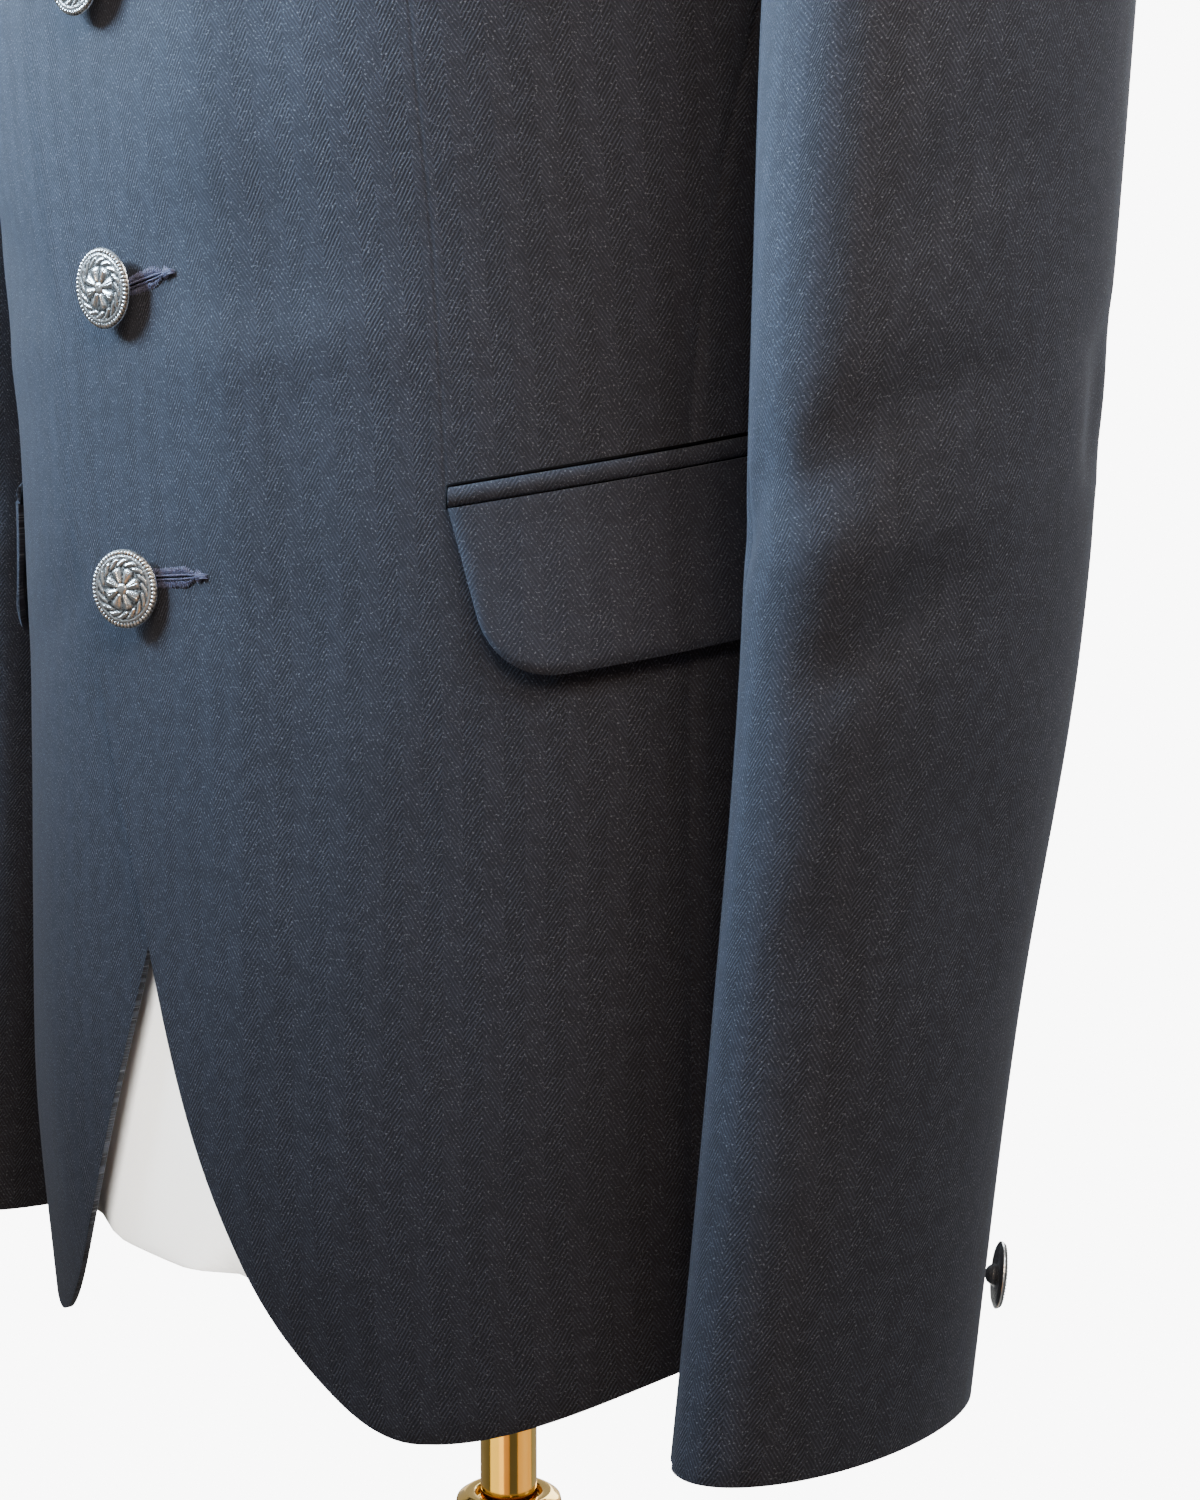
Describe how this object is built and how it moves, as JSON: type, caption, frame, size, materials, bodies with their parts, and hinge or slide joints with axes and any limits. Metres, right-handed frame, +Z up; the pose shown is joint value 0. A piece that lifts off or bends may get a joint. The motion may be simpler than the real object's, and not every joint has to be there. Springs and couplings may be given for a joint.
{
  "type": "bandhgala jacket on limbless dress form and stand",
  "caption": "Navy herringbone bandhgala jacket with band collar, cutaway front and flap pockets, buttoned on a limbless dress form with a brass stand.",
  "frame": {"origin": "centre of the stand's flat underside", "axes": "+Z up along the pole, -Y the front of the jacket, +X the wearer's left"},
  "size_m": [0.5286, 0.3517, 1.5313],
  "materials": {
    "suiting": "navy herringbone wool suiting, soft sheen",
    "button_metal": "antiqued silver-coloured metal",
    "brass": "polished",
    "form_cover": "pale stretched jersey"
  },
  "bodies": {
    "root": {"front_left": "suiting", "front_right": "suiting", "side_left": "suiting", "side_right": "suiting", "back_left": "suiting", "back_right": "suiting", "sleeve_top_left": "suiting", "sleeve_top_right": "suiting", "sleeve_under_left": "suiting", "sleeve_under_right": "suiting", "pocket_flap_left": "suiting", "pocket_flap_right": "suiting", "pocket_jet_left": "suiting", "pocket_jet_right": "suiting", "collar": "suiting", "front_button_1": "button_metal", "front_button_2": "button_metal", "front_button_3": "button_metal", "front_button_4": "button_metal", "front_button_5": "button_metal", "cuff_button_left": "button_metal", "cuff_button_right": "button_metal", "form_plate": "brass", "pole_inner": "brass", "pole_outer": "brass", "pole_collar": "brass", "stand_base": "brass", "neck_cap": "brass", "form_torso": "form_cover"}
  },
  "joints": []
}
